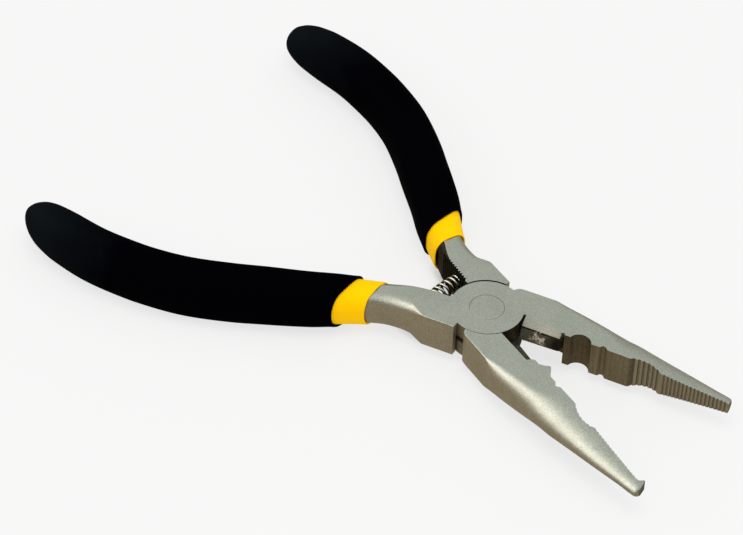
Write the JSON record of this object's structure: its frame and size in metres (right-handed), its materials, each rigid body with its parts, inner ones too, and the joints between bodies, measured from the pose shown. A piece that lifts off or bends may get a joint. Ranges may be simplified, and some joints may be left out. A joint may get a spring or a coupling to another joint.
{
  "type": "long-nose pliers",
  "caption": "Sprung long-nose pliers with a riveted lap joint, bypass side cutters, a crimp nest and indenter, toothed jaws and double-dipped vinyl grips.",
  "frame": {"origin": "centre of the flush rivet head's face on the upper side of the joint, on the pivot axis", "axes": "+X along the bisector of the two jaws towards their tips, +Z along the pivot axis out of the upper rivet head, +Y to the left seen from above"},
  "size_m": [0.1433, 0.0916, 0.0125],
  "materials": {
    "forged_steel": "satin, bead blasted, nickel look",
    "spring_steel": "drawn wire",
    "yellow_vinyl": "smooth dipped vinyl",
    "black_vinyl": "matte dipped vinyl"
  },
  "bodies": {
    "upper_half": {"jaw_half_upper": "forged_steel", "grip_undercoat_upper": "yellow_vinyl", "grip_overcoat_upper": "black_vinyl", "pivot_rivet": "forged_steel", "return_spring": "spring_steel"},
    "lower_half": {"jaw_half_lower": "forged_steel", "grip_undercoat_lower": "yellow_vinyl", "grip_overcoat_lower": "black_vinyl"}
  },
  "joints": [
    {"name": "pivot", "type": "hinge", "parent": "upper_half", "child": "lower_half", "pos_m": [0, 0, 0], "axis": [0, 0, 1], "range_deg": [-10, 29.9], "stiffness_Nm_per_rad": 0.02, "deforming": ["return_spring"]}
  ]
}
